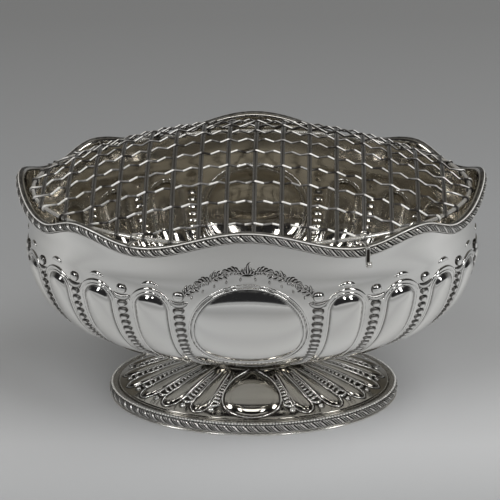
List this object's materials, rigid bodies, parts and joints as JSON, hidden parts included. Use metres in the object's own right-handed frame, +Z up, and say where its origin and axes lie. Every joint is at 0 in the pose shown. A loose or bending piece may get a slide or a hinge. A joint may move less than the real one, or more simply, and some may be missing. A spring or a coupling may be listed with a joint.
{
  "type": "jardiniere",
  "caption": "Oval footed silver jardiniere with a wavy gadrooned rim, lobed and beaded sides, a plain oval disc each side, and a domed lift-out wire flower grille on folding hooks.",
  "frame": {"origin": "centre of the foot's underside, on the surface it stands on", "axes": "+X along the bowl's length, to the right; -Y out of the front; +Z up"},
  "size_m": [0.3496, 0.2238, 0.2173],
  "materials": {
    "bowl_silver": "polished",
    "border_silver": "polished, darkened in the hollows",
    "wire_silver": "worn polish"
  },
  "bodies": {
    "bowl": {"bowl_shell": "bowl_silver", "rim_border": "border_silver", "foot_collar": "border_silver", "foot_dome": "bowl_silver", "foot_border": "border_silver", "foot_flange": "border_silver"},
    "grille": {"grille_frame": "wire_silver", "grille_strip_01": "wire_silver", "grille_strip_02": "wire_silver", "grille_strip_03": "wire_silver", "grille_strip_04": "wire_silver", "grille_strip_05": "wire_silver", "grille_strip_06": "wire_silver", "grille_strip_07": "wire_silver", "grille_strip_08": "wire_silver", "grille_strip_09": "wire_silver", "grille_strip_10": "wire_silver", "grille_strip_11": "wire_silver", "grille_strip_12": "wire_silver", "grille_strip_13": "wire_silver", "grille_strip_14": "wire_silver", "grille_strip_15": "wire_silver", "grille_strip_16": "wire_silver", "grille_wire_01": "wire_silver", "grille_wire_02": "wire_silver", "grille_wire_03": "wire_silver", "grille_wire_04": "wire_silver", "grille_wire_05": "wire_silver", "grille_wire_06": "wire_silver", "grille_wire_07": "wire_silver", "grille_wire_08": "wire_silver", "grille_wire_09": "wire_silver", "grille_wire_10": "wire_silver", "grille_wire_11": "wire_silver", "grille_wire_12": "wire_silver"},
    "hook_front_left": {"hook_front_left": "wire_silver"},
    "hook_front_right": {"hook_front_right": "wire_silver"},
    "hook_back_left": {"hook_back_left": "wire_silver"},
    "hook_back_right": {"hook_back_right": "wire_silver"}
  },
  "joints": [
    {"name": "grille_lift", "type": "slide", "parent": "bowl", "child": "grille", "axis": [0, 0, 1], "range_m": [0, 0.12]},
    {"name": "hook_front_left_turn", "type": "hinge", "parent": "grille", "child": "hook_front_left", "pos_m": [-0.08125, -0.0879, 0.1745], "axis": [-0.9407, 0.3392, 0], "range_deg": [0, 75]},
    {"name": "hook_front_right_turn", "type": "hinge", "parent": "grille", "child": "hook_front_right", "pos_m": [0.08125, -0.0879, 0.1745], "axis": [-0.9407, -0.3392, 0], "range_deg": [0, 75]},
    {"name": "hook_back_left_turn", "type": "hinge", "parent": "grille", "child": "hook_back_left", "pos_m": [-0.08125, 0.0879, 0.1745], "axis": [0.9407, 0.3392, 0], "range_deg": [0, 75]},
    {"name": "hook_back_right_turn", "type": "hinge", "parent": "grille", "child": "hook_back_right", "pos_m": [0.08125, 0.0879, 0.1745], "axis": [0.9407, -0.3392, 0], "range_deg": [0, 75]}
  ]
}
